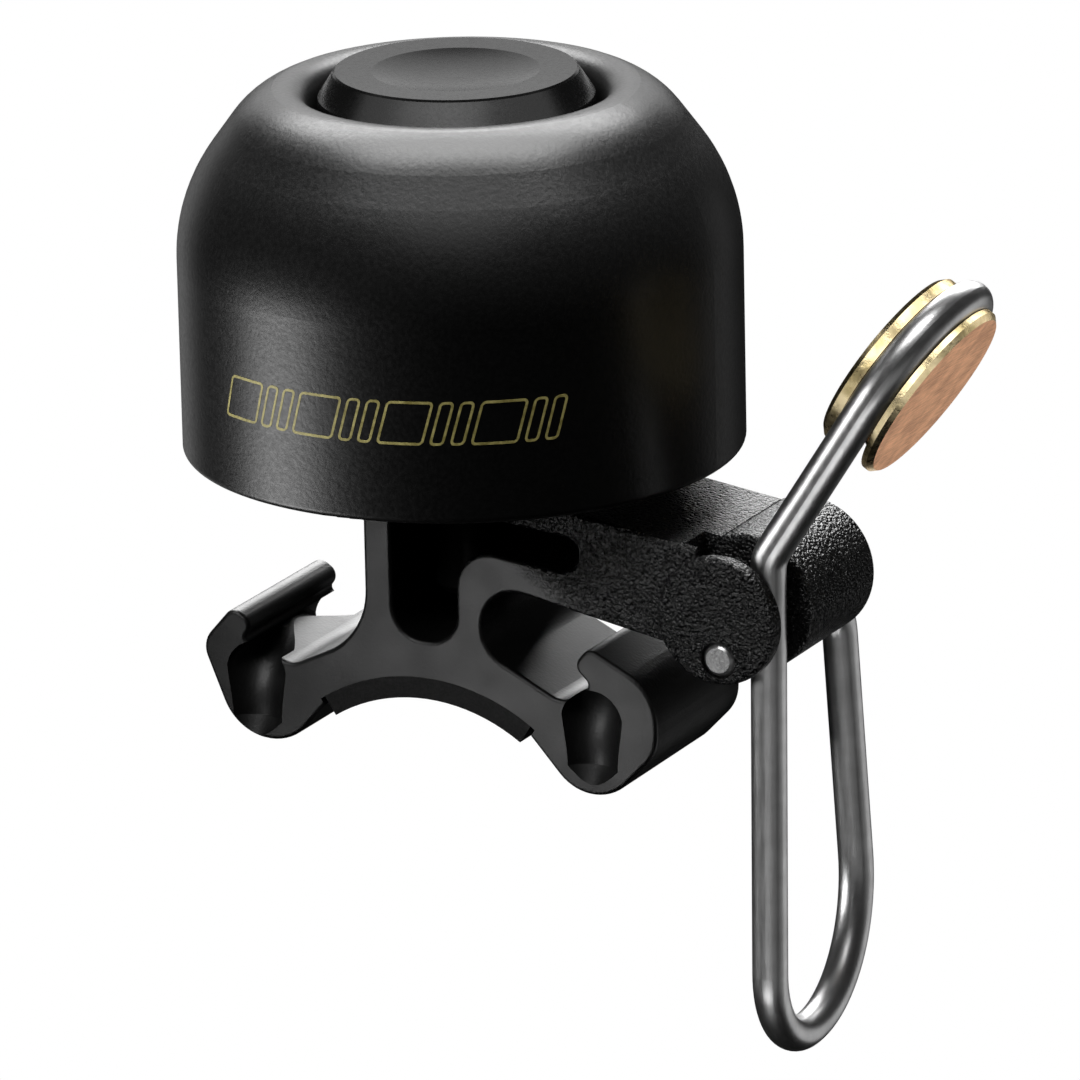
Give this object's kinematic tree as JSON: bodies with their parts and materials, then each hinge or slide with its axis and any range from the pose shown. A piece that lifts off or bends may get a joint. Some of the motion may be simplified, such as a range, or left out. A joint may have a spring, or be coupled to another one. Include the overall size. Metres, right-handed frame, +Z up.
{
  "type": "bicycle bell",
  "caption": "Small handlebar bell: a domed bell with a cover cap on a hooked bracket, struck by a sprung wire lever with a spool hammer.",
  "frame": {"origin": "axis of the handlebar, at the middle of the bracket's depth", "axes": "+Z up along the bell's axis, +Y along the handlebar, +X towards the striker"},
  "size_m": [0.049, 0.033, 0.0575],
  "materials": {
    "dome_coat": "satin, fine leather grain",
    "cap_plastic": "semi-gloss",
    "bracket_plastic": "spark-eroded texture",
    "liner_rubber": "matte",
    "isolator_rubber": "matte",
    "isolator_nylon": "natural nylon",
    "wire_steel": "polished, drawn wire",
    "screw_steel": "black oxide",
    "hammer_brass": "turned, brushed faces",
    "insert_brass": "turned"
  },
  "bodies": {
    "bell": {"bell_dome": "dome_coat", "top_cap": "cap_plastic", "centre_screw": "screw_steel", "lock_washer": "screw_steel", "load_washer": "screw_steel", "upper_isolator": "isolator_nylon", "lower_isolator": "isolator_rubber", "threaded_insert": "insert_brass", "bracket": "bracket_plastic", "saddle_pad": "liner_rubber"},
    "striker": {"striker_wire": "wire_steel", "hammer_spool": "hammer_brass"}
  },
  "joints": [
    {"name": "striker_pivot", "type": "hinge", "parent": "bell", "child": "striker", "pos_m": [0.01935, 0, 0.01622], "axis": [0, 1, 0], "range_deg": [-30, 15], "stiffness_Nm_per_rad": 0.03}
  ]
}
